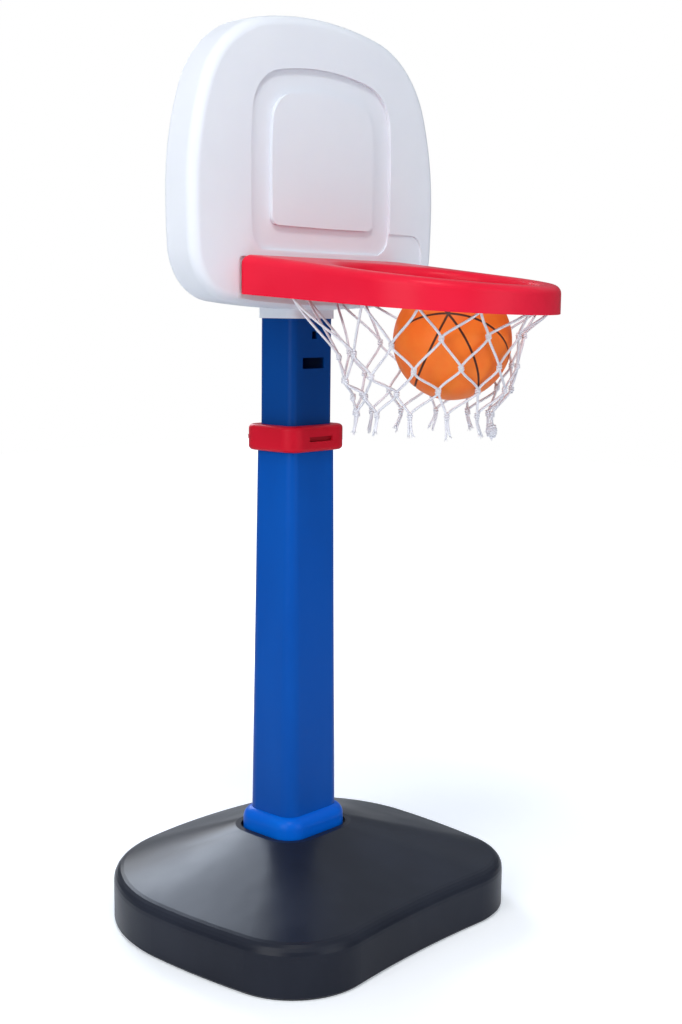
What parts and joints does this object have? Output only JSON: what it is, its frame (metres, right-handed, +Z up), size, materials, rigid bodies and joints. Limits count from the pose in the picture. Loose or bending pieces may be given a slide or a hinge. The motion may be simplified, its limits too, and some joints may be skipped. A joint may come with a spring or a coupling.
{
  "type": "toy basketball game",
  "caption": "Free-standing toy basketball stand: tank base, telescoping pole with a lock, hollow backboard, drooping ring with a knotted net, and a ball caught in the net.",
  "frame": {"origin": "on the floor, under the middle of the pole", "axes": "+Z up along the pole, the ring faces -Y, +X is to the right seen from the front"},
  "size_m": [0.558, 0.6605, 1.32],
  "materials": {
    "base_plastic": "satin blow-moulded, dark slate",
    "cap_plastic": "satin",
    "washer_rubber": "matt",
    "lower_pole_plastic": "satin blow-moulded, blue",
    "upper_pole_plastic": "satin blow-moulded, blue",
    "skirt_plastic": "satin, bright blue",
    "red_plastic": "satin, red",
    "lock_plastic": "satin, dark red",
    "glide_plastic": "matt natural",
    "board_plastic": "satin blow-moulded, white",
    "steel": "zinc plated",
    "net_cord": "twisted white cord",
    "ball_rubber": "satin moulded skin, orange",
    "valve_rubber": "matt"
  },
  "bodies": {
    "stand": {"base_shell": "base_plastic", "filler_washer": "washer_rubber", "lower_pole": "lower_pole_plastic", "foot_screws": "steel", "pole_skirt": "skirt_plastic", "collar": "red_plastic", "collar_screws": "steel"},
    "cap": {"filler_cap": "cap_plastic"},
    "lock": {"lock_bar": "lock_plastic"},
    "head": {"upper_pole": "upper_pole_plastic", "upper_pole_glide": "glide_plastic", "backboard": "board_plastic", "neck_screws": "steel", "ring": "red_plastic", "ring_bolts": "steel", "ring_washers": "steel", "ring_nuts": "steel", "net": "net_cord"},
    "ball": {"ball": "ball_rubber", "ball_valve": "valve_rubber"}
  },
  "joints": [
    {"name": "height_slide", "type": "slide", "parent": "stand", "child": "head", "axis": [0, 0, 1], "range_m": [-0.11, 0.22]},
    {"name": "lock_slide", "type": "slide", "parent": "stand", "child": "lock", "axis": [0, 1, 0], "range_m": [0, 0.006]},
    {"name": "ball_lift", "type": "slide", "parent": "head", "child": "ball", "axis": [0, 0, 1], "range_m": [0, 0.24]},
    {"name": "cap_lift", "type": "slide", "parent": "stand", "child": "cap", "axis": [0, 0, 1], "range_m": [0, 0.04]}
  ]
}
